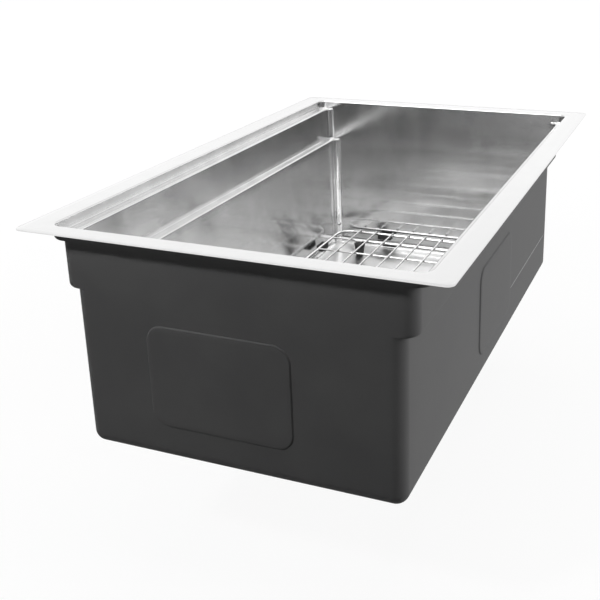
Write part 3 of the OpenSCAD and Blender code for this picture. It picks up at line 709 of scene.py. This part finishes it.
def boot_profile(low, high):
    """A taper from the sole to the top, with a round sole edge, a moulded bead and a round rim."""
    top = BOOT_TOP_R - BOOT_SLACK
    sole_bend = arc((SOLE_R - BOOT_EDGE, low + BOOT_EDGE), BOOT_EDGE, -90, -8, 5)
    bead = [(top - inwards * MM, high - down * MM) for inwards, down in BOOT_BEAD]
    rim = arc((top - BOOT_EDGE, high - BOOT_EDGE), BOOT_EDGE, 8, 90, 5)
    return np.concatenate([[(0, low), (SOLE_R - BOOT_EDGE, low)], sole_bend, bead, rim, [(0, high)]])


boot_points, boot_faces = lathe(boot_profile(boot_low.z, boot_high.z), 40)
boots = gather([(boot_points + (sx * BOOT_X, sy * BOOT_Y, 0), boot_faces)
                for sx in (-1, 1) for sy in (-1, 1)])
boots_piece = new_piece("rubber_boots", *boots, "grid", "black_rubber", 50)
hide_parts("grid_feet")

# %% Bumpers
BUMPER_LENGTH, BUMPER_LOW, BUMPER_REACH, BUMPER_INNER = (v * MM for v in (24, -8.5, 8, 4.3))
OUTER_RISE, INNER_RISE, BUMPER_EDGE, END_ROUND = (v * MM for v in (1.5, 1.0, 1.2, 0.9))
END_BUMPER_Y, SIDE_BUMPER_X = 90.2 * MM, 263 * MM


def bumper_section(inset):
    """Outline of a bumper across its wire, clockwise: a round-edged block, drawn in by the inset, with a
    round groove that holds the wire from below. The side to the wall stands higher than the inner lip."""
    low, outer, inner = BUMPER_LOW + inset, OUTER_RISE - inset, INNER_RISE - inset
    wall, lip = BUMPER_REACH - inset, inset - BUMPER_INNER
    e, r = BUMPER_EDGE, RIM_WIRE / 2
    start, end = math.pi - math.asin(inner / r), 2 * math.pi + math.asin(outer / r)
    return np.concatenate([
        [(wall - e, outer)], arc((wall - e, outer - e), e, 90, 0, 4), arc((wall - e, low + e), e, 0, -90, 4),
        arc((lip + e, low + e), e, -90, -180, 4), arc((lip + e, inner - e), e, 180, 90, 4),
        [(r * math.cos(start), inner)], arc((0, 0), r, math.degrees(start), math.degrees(end), 16)])


def bumper(count=4):
    """Carries the section along Y. Near both ends it is drawn in on a quarter round."""
    a = np.radians(np.linspace(0, 90, count))
    along = BUMPER_LENGTH / 2 - END_ROUND * (1 - np.cos(a))
    inset = END_ROUND * (1 - np.sin(a))
    stops = np.concatenate([-along, along[::-1]])
    sections = np.array([bumper_section(d) for d in np.concatenate([inset, inset[::-1]])])
    x, z = sections[..., 0], sections[..., 1]
    points = np.stack([x, stops[:, None] + 0 * x, z], -1)
    n, m = points.shape[:2]
    ends = [list(range(m)), list(range(n * m - 1, (n - 1) * m - 1, -1))]
    return points.reshape(-1, 3), grid_faces(n, m, flip=True) + ends


def turned(points, quarter_turns, place):
    """Turns points about Z by quarter turns and moves them."""
    a = quarter_turns * math.pi / 2
    c, s = math.cos(a), math.sin(a)
    spin = np.array([[c, -s, 0], [s, c, 0], [0, 0, 1]])
    return points @ spin.T + place


block, block_faces = bumper()
spots = [(1 - s, (s * GRID_HALF_L, t * END_BUMPER_Y, RIM_Z)) for s in (1, -1) for t in (1, -1)]
spots += [(2 - s, (t * SIDE_BUMPER_X, s * GRID_HALF_W, RIM_Z)) for s in (1, -1) for t in (1, -1)]
bumpers = gather([(turned(block, quarters, place), block_faces) for quarters, place in spots])
bumpers_piece = new_piece("rubber_bumpers", *bumpers, "grid", "black_rubber", 40)
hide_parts("grid_bumpers")

# %% [markdown]
# The wires are joined by resistance welds, which leave a small bright bead in
# each crossing. A texture can't round the corner between two wires, so each bead
# is a small egg shape from two angles, and its places are worked out from the
# spacing of the wires.

# %% Weld beads
LONG_Y = np.linspace(-135.3, 135.3, 10) * MM
CROSS_X = np.concatenate([[-BOOT_X], np.linspace(-240, 240, 9) * MM, [BOOT_X]])
LONG_Z, RING_R = -226.95 * MM, 54 * MM
TOUCH_Z = (LONG_Z + CROSS_Z) / 2
BEAD_RADII = np.array([1.5, 1.5, 1.0]) * MM


def egg(radii, rows=5, columns=8):
    """An egg shape: rings at even angles between two poles, scaled by three radii."""
    a = np.linspace(-math.pi / 2, math.pi / 2, rows + 2)
    points, faces = lathe(np.column_stack([np.cos(a), np.sin(a)]), columns)
    return points * radii, faces


def bead_places():
    """Crossings of the two layers outside the drain ring, and the ends on the rim wire and the ring."""
    x, y = np.meshgrid(CROSS_X, LONG_Y, indexing="ij")
    keep = np.hypot(x, y) > RING_R + 2 * WIRE
    met = LONG_Y[np.abs(LONG_Y) < RING_R]
    places = [rows_of(x[keep], y[keep], TOUCH_Z)]
    for s in (-1, 1):
        places.append(rows_of(s * GRID_HALF_L, LONG_Y, TOUCH_Z))
        places.append(rows_of(CROSS_X, s * (GRID_HALF_W - RIM_WIRE / 2), CROSS_Z))
        places.append(rows_of(0, s * (RING_R + WIRE / 2), CROSS_Z))
        places.append(rows_of(s * np.sqrt(RING_R ** 2 - met ** 2), met, TOUCH_Z))
    return np.concatenate(places)


bead, bead_faces = egg(BEAD_RADII)
beads = gather([(bead + place, bead_faces) for place in bead_places()])
beads_piece = new_piece("weld_beads", *beads, "grid", "wire", 60)

# %% [markdown]
# On the front wall the coat shows one fine run that catches the light. As bump
# it would vanish when the model is seen from the side, so it is a flat thread,
# thinning at both ends, half sunk in the coat.

# %% A run in the coat
RUN_FROM, RUN_TO, RUN_LEVEL = 0.092, 0.340, -0.196
RUN_WIDTH, RUN_RISE, RUN_SUNK = 0.0016, 0.00045, 0.0001


def coat_run(count=40, sides=8):
    """A thread along X on the front wall: an oval section whose size falls to nought at both ends, as
    the root of one less the eighth power of the distance from the middle."""
    t = np.linspace(0, 1, count)[1:-1, None]
    a = np.linspace(0, 2 * math.pi, sides, endpoint=False)
    size = np.sqrt(1 - (2 * t - 1) ** 8)
    wall = RUN_SUNK - WELL_HALF_W - SKIN
    rings = np.stack([RUN_FROM + (RUN_TO - RUN_FROM) * t + 0 * a, wall - RUN_RISE * size * np.cos(a),
                      RUN_LEVEL + RUN_WIDTH / 2 * size * np.sin(a)], -1)
    poles = [(x, wall, RUN_LEVEL) for x in (RUN_FROM, RUN_TO)]
    return capped(rings, poles)


run_piece = new_piece("coat_run", *coat_run(), "bowl", "coat", 80)

# %% [markdown]
# Finishes share a few effects: streaks for brushing, slow clouds for wiped and
# uneven places, and a fine grain for sprayed and moulded skins. Each could be
# drawn again in every material, but then no two would match, so each is a node
# group that is built once. A group gives out plain values, and each material
# mixes them into its own colour, gloss and relief.


# %% Shared effects
def group_of(name, inputs, outputs):
    """An empty shader node group fed by a vector and numbers, its first node and its last."""
    tree = bpy.data.node_groups.new(name, "ShaderNodeTree")
    tree.interface.new_socket(name="Vector", in_out="INPUT", socket_type="NodeSocketVector")
    for label, value in inputs.items():
        socket = tree.interface.new_socket(name=label, in_out="INPUT", socket_type="NodeSocketFloat")
        socket.default_value = value
    for label in outputs:
        tree.interface.new_socket(name=label, in_out="OUTPUT", socket_type="NodeSocketFloat")
    return tree, tree.nodes.new("NodeGroupInput").outputs, tree.nodes.new("NodeGroupOutput").inputs


def noise_node(tree, vector, scale, detail=2.0, rough=0.5):
    """Smooth noise, from nought to one."""
    feeds = {"Vector": vector, "Scale": scale, "Detail": detail, "Roughness": rough}
    return add_node(tree, "TexNoise", feeds).outputs[0]


def streaks_group():
    """Brushing: noise drawn out along one way. X of the vector runs across the grain, Y along it. The
    fine streaks and the broad ones are two noises at different stretches."""
    tree, given, made = group_of("brushed_streaks", {"Across": 900.0, "Along": 18.0}, ["Fine", "Broad"])
    part = add_node(tree, "SeparateXYZ", {0: given["Vector"]}).outputs
    for label, share in (("Fine", 1.0), ("Broad", 0.12)):
        x, y = (math_node(tree, "MULTIPLY", part[k], math_node(tree, "MULTIPLY", given[way], share))
                for k, way in enumerate(("Across", "Along")))
        join = add_node(tree, "CombineXYZ", {0: x, 1: y, 2: part[2]})
        tree.links.new(noise_node(tree, join.outputs[0], 1.0, 3.0, 0.6), made[label])
    return tree


def clouds_group():
    """Slow uneven patches, from nought to one: smooth noise, pulled towards its ends."""
    tree, given, made = group_of("slow_clouds", {"Scale": 6.0}, ["Cloud"])
    noise = noise_node(tree, given["Vector"], given["Scale"])
    tree.links.new(ramp_node(tree, noise, 0.3, 0.7), made["Cloud"])
    return tree


def skin_group():
    """Fine pebbled skin of sprayed or moulded stuff: round cells over smooth noise, and a few specks."""
    tree, given, made = group_of("pebbled_skin", {"Scale": 900.0}, ["Height", "Speck"])
    cells = add_node(tree, "TexVoronoi", {"Vector": given["Vector"], "Scale": given["Scale"]},
                     feature="SMOOTH_F1").outputs["Distance"]
    soft = noise_node(tree, given["Vector"], math_node(tree, "MULTIPLY", given["Scale"], 0.35))
    tree.links.new(math_node(tree, "MULTIPLY_ADD", cells, 0.5, soft), made["Height"])
    wide = math_node(tree, "MULTIPLY", given["Scale"], 0.02)
    rare = add_node(tree, "TexVoronoi", {"Vector": given["Vector"], "Scale": wide}).outputs["Distance"]
    tree.links.new(ramp_node(tree, rare, 0.03, 0.07, 1.0, 0.0), made["Speck"])
    return tree


STREAKS, CLOUDS, SKIN_GRAIN = streaks_group(), clouds_group(), skin_group()
print("shared effects:", STREAKS.name, CLOUDS.name, SKIN_GRAIN.name)

# %% [markdown]
# Each finish starts from a plain shader. A steady number could come in by a node
# as well, but an export loses such links, so it stands on the shader's own
# socket. Only what changes over the surface is linked: the colour, the
# roughness and the relief. A small class holds a material while it grows.

# %% Finish helpers
# Sockets of a Mix node that blends colours
COLOUR_A, COLOUR_B, COLOUR_OUT = 6, 7, 2


def grey(value):
    """A colour without hue."""
    return (value, value, value)


class Finish:
    """A material under construction: its tree, its shader and its place, the object's coordinates."""

    def __init__(self, name, **sockets):
        self.material = bpy.data.materials.new(name)
        self.material.use_nodes = True
        self.tree = self.material.node_tree
        self.shader = self.tree.nodes["Principled BSDF"]
        for key, value in sockets.items():
            self.shader.inputs[key.replace("_", " ")].default_value = value
        self.place = self.node("TexCoord").outputs["Object"]
        print("finish", name)

    def node(self, kind, feeds=None, **settings):
        """Adds a node to this material."""
        return add_node(self.tree, kind, feeds, **settings)

    def sum(self, operation, *terms):
        """One sum in this material."""
        return math_node(self.tree, operation, *terms)

    def feed(self, socket, value):
        """Links a value that changes over the surface to the shader."""
        self.tree.links.new(value, self.shader.inputs[socket])

    def effect(self, group, vector, **values):
        """Places a shared group, fed by a vector, with its own values."""
        return self.node("Group", {"Vector": vector, **values}, node_tree=group).outputs

    def mask(self, name):
        """A value painted on the piece's points."""
        return self.node("Attribute", attribute_name=name).outputs["Fac"]

    def between(self, value, low, high):
        """A value from nought to one spread between two numbers."""
        return self.sum("MULTIPLY_ADD", value, high - low, low)

    def swap(self, first, second, mask):
        """The first value where the mask is nought and the second where it is one."""
        return self.node("Mix", {"Factor": mask, "A": first, "B": second}).outputs["Result"]

    def colour(self, mask, dark, light):
        """Base colour mixed from dark to light by a mask."""
        feeds = {"Factor": mask, COLOUR_A: (*dark, 1), COLOUR_B: (*light, 1)}
        self.feed("Base Color", self.node("Mix", feeds, data_type="RGBA").outputs[COLOUR_OUT])

    def relief(self, height, depth, strength=1.0):
        """A bump whose full height is the depth, in metres."""
        bump = self.node("Bump", {"Distance": depth, "Strength": strength, "Height": height})
        self.feed("Normal", bump.outputs[0])

    def mapped(self, vector, **turns):
        """Coordinates turned by Rotation or stretched by Scale, three numbers each."""
        return self.node("Mapping", {"Vector": vector, **turns}).outputs[0]


# %% [markdown]
# A brushed sheet is covered in fine parallel scratches. They could all be
# relief, but scratches finer than the picture's dots only flicker. So the
# shader spreads its reflections across the grain by itself, along a tangent
# taken from the map, and the noise adds only what the eye can make out.

# %% Brushed steel
CLOUD_SHARE, STREAK_SHARE = 0.45, 0.55
SATIN_PALER, SATIN_ROUGHER = 0.16, 0.16
POLISH_SMOOTHER, MARK_HEIGHT = 0.07, 20.0


def brushed_steel():
    """Satin sheet: streaks and wipe marks under a thin film of gloss, a duller low wall, and polished
    corners with long upright grinding relief, whose colour is painted in light and dark upright bands as
    painted reflection."""
    f = Finish("brushed_steel", Metallic=1.0, Anisotropic=1.0, Coat_Roughness=0.03)
    grain = f.node("UVMap", uv_map="brushing").outputs[0]
    f.feed("Tangent", f.node("Tangent", direction_type="UV_MAP", uv_map="brushing").outputs[0])
    streak = f.effect(STREAKS, grain, Across=1400.0, Along=14.0)
    cloud = f.effect(CLOUDS, f.mapped(f.place, Scale=(1, 1, 0.4)), Scale=36.0)["Cloud"]
    polish, satin, sanded = (f.mask(name) for name in ("polish", "satin", "sanded"))
    upright = f.mapped(grain, Rotation=(0, 0, math.pi / 2))
    grind_streaks_and_bands = f.effect(STREAKS, upright, Across=420.0, Along=6.0)["Fine"]
    tone = f.sum("MULTIPLY_ADD", cloud, CLOUD_SHARE, f.sum("MULTIPLY", streak["Broad"], STREAK_SHARE))
    tone = f.swap(f.between(tone, 0.59, 0.72), f.between(tone, 0.70, 0.745), sanded)
    tone = f.sum("MULTIPLY_ADD", satin, SATIN_PALER, tone)
    # Painted reflection: on the polished corners the colour runs from dark to light in upright bands that
    # stand in for reflected lines. The same streaks give these corners their grinding relief.
    painted_reflection_bands = ramp_node(f.tree, grind_streaks_and_bands, 0.42, 0.58)
    f.feed("Base Color", f.swap(tone, f.between(painted_reflection_bands, 0.50, 0.95), polish))
    f.feed("Coat Weight", f.between(satin, 0.6, 0.0))
    rough = f.sum("ADD", f.between(streak["Fine"], 0.115, 0.155), f.between(cloud, -0.015, 0.015))
    rough = f.sum("MULTIPLY_ADD", polish, -POLISH_SMOOTHER, rough)
    f.feed("Roughness", f.sum("MULTIPLY_ADD", satin, SATIN_ROUGHER, rough))
    facets = f.sum("MULTIPLY", f.sum("MULTIPLY", grind_streaks_and_bands, polish), MARK_HEIGHT)
    f.relief(f.sum("ADD", streak["Fine"], facets), 0.000004)
    return f.material


steel = brushed_steel()

# %% [markdown]
# The coat is a thick rubbery spray. A plain dark grey looks like paper, so it
# gets a pebbled skin in its relief, slow clouds where the gun passed twice, and
# almost no mirror shine. The run has the same skin and is shinier, and its
# colour is painted paler as a painted highlight.


# %% Sprayed coat
def clouded(name, dark, light, rough, clouds, **sockets):
    """A finish whose shade and roughness drift together in slow clouds."""
    f = Finish(name, **sockets)
    cloud = f.effect(CLOUDS, f.place, Scale=clouds)["Cloud"]
    f.colour(cloud, dark, light)
    f.feed("Roughness", f.between(cloud, *rough))
    return f


def sprayed_coat(name, dark, light, shine):
    """Thick dark spray: matt and uneven, with a fine pebbled skin and a few specks."""
    f = clouded(name, dark, light, (0.56, 0.66), 9.0, Specular_IOR_Level=shine)
    skin = f.effect(SKIN_GRAIN, f.place, Scale=700.0)
    f.relief(f.sum("MULTIPLY_ADD", skin["Speck"], 1.5, skin["Height"]), 0.00012, 0.6)
    return f.material


coat_look = sprayed_coat("sprayed_coat", (0.130, 0.130, 0.131), grey(0.150), 0.05)
# The run's paler colour is a painted highlight.
run_painted_highlight = sprayed_coat("coat_run", grey(0.30), grey(0.36), 0.5)

# %% [markdown]
# The other bright metals are the grid's wire, the turned strainer and the
# chromed tube. One grey metal could serve them all, but each has its own look:
# the wire's colour is painted lighter on top and darker beneath as painted
# shade, a lathe cuts rings, and plating shows smudges.


# %% Wire, turned parts and chrome
def wire_with_painted_shade():
    """Drawn and polished wire, its colour painted light on top and dark beneath as painted shade."""
    f = Finish("wire_with_painted_shade", Metallic=1.0)
    cloud = f.effect(CLOUDS, f.place, Scale=60.0)["Cloud"]
    normal = f.node("NewGeometry").outputs["Normal"]
    # Painted shade: the colour runs from dark where the surface faces down to light where it faces up.
    top = ramp_node(f.tree, f.node("SeparateXYZ", {0: normal}).outputs[2], -0.1, 0.7)
    f.colour(f.sum("MULTIPLY_ADD", cloud, -0.12, top), grey(0.22), grey(0.88))
    f.feed("Roughness", f.between(cloud, 0.08, 0.16))
    return f.material


TURNED_LIGHT = (0.76, 0.76, 0.75)


def turned_steel():
    """Steel turned on a lathe: fine rings about the drain's axis, with reflections spread across them.
    The rings are noise over the distance from the axis and the height."""
    f = Finish("strainer_steel", Metallic=1.0, Anisotropic=0.5)
    f.feed("Tangent", f.node("Tangent", direction_type="RADIAL", axis="Z").outputs[0])
    flat = f.node("VectorMath", {0: f.place, 1: (1, 1, 0)}, operation="MULTIPLY").outputs[0]
    far = f.node("VectorMath", {0: flat}, operation="LENGTH").outputs["Value"]
    height = f.node("SeparateXYZ", {0: f.place}).outputs[2]
    lines = noise_node(f.tree, f.node("CombineXYZ", {0: far, 2: height}).outputs[0], 2500.0)
    cloud = f.effect(CLOUDS, f.place, Scale=35.0)["Cloud"]
    f.colour(cloud, tuple(0.93 * v for v in TURNED_LIGHT), TURNED_LIGHT)
    f.feed("Roughness", f.between(lines, 0.14, 0.30))
    f.relief(lines, 0.000006)
    return f.material


wire_look, drain_steel = wire_with_painted_shade(), turned_steel()
chrome_look = clouded("tail_chrome", (0.53, 0.54, 0.55), (0.61, 0.61, 0.62), (0.06, 0.17), 40.0,
                      Metallic=1.0).material

# %% [markdown]
# What is left is rubber, sealant, plastic, brass and fibre. All but the fibre
# take the skin of a mould and shade in slow clouds, so one function makes them.
# The fibre washer is pressed from short strands, and two crossed stretches of
# the brushing noise draw them.


# %% Moulded stuffs and fibre
def moulded(name, dark, light, rough, grain, relief, clouds=90.0, strength=0.7, **sockets):
    """A moulded or cast stuff: slow clouds and a skin of its own grain."""
    f = clouded(name, dark, light, rough, clouds, **sockets)
    f.relief(f.effect(SKIN_GRAIN, f.place, Scale=grain)["Height"], relief, strength)
    return f.material


def fibre():
    """Pressed fibre: tan, with short strands lying every way."""
    f = Finish("fibre", Specular_IOR_Level=0.2)
    strands = f.effect(STREAKS, f.mapped(f.place, Scale=(1, 6, 1)), Across=900.0, Along=160.0)["Fine"]
    crossing = f.effect(STREAKS, f.mapped(f.place, Scale=(6, 1, 1)), Across=160.0, Along=900.0)["Fine"]
    weave = f.sum("MAXIMUM", strands, crossing)
    f.colour(weave, (0.34, 0.24, 0.14), (0.66, 0.52, 0.36))
    f.feed("Roughness", f.between(weave, 0.75, 0.9))
    f.relief(weave, 0.00015)
    return f.material


fibre_look = fibre()
brass_look = moulded("nut_brass", (0.50, 0.34, 0.15), (0.74, 0.56, 0.30), (0.42, 0.28), 1100.0, 0.00010,
                     clouds=70.0, strength=0.5, Metallic=1.0)
rubber = moulded("black_rubber", grey(0.014), grey(0.026), (0.5, 0.66), 2200.0, 0.00005)
pad_rubber = moulded("pad_rubber", grey(0.03), grey(0.05), (0.7, 0.85), 900.0, 0.0002)
sealant = moulded("white_sealant", (0.74, 0.74, 0.71), (0.84, 0.84, 0.82), (0.3, 0.45), 300.0, 0.0002)
washer_white = moulded("washer_plastic", (0.80, 0.80, 0.75), (0.86, 0.86, 0.82), (0.35, 0.5), 1500.0, 0.00003)
knob_black = moulded("knob_plastic", grey(0.035), grey(0.05), (0.14, 0.26), 2500.0, 0.00001)

# %% [markdown]
# A construction piece whose shape is right stays as it is and only gets a
# finish. Its name says what it is, so a table of names and first words of names
# is enough, and a new piece is never forgotten: what no key names is steel.

# %% Finishes on the pieces
LOOKS = {
    "pad": pad_rubber, "strainer_body": drain_steel, "outlet_spigot": brass_look, "flange_seal": sealant,
    "rubber_gasket": rubber, "friction_washer": fibre_look, "lock_nut": brass_look,
    "tailpiece_washer": washer_white, "tailpiece": chrome_look, "slip_nut": chrome_look,
    "basket_stopper": rubber, "basket_knob": knob_black, "basket": drain_steel, "grid": wire_look,
}
NEW_LOOKS = ((bowl, steel), (coat_skin, coat_look), (pad_coat, coat_look), (run_piece, run_painted_highlight),
             (boots_piece, rubber), (bumpers_piece, rubber), (beads_piece, wire_look))


def look_for(name):
    """The finish whose key is the node's name or the longest beginning of it."""
    keys = [key for key in LOOKS if name.startswith(key)]
    return LOOKS[max(keys, key=len)] if keys else steel


for name, node in nodes.items():
    node.data.materials.clear()
    node.data.materials.append(look_for(name))
for piece, look in NEW_LOOKS:
    piece.data.materials.append(look)
print("finished", len(nodes), "nodes and", len(NEW_LOOKS), "new pieces")
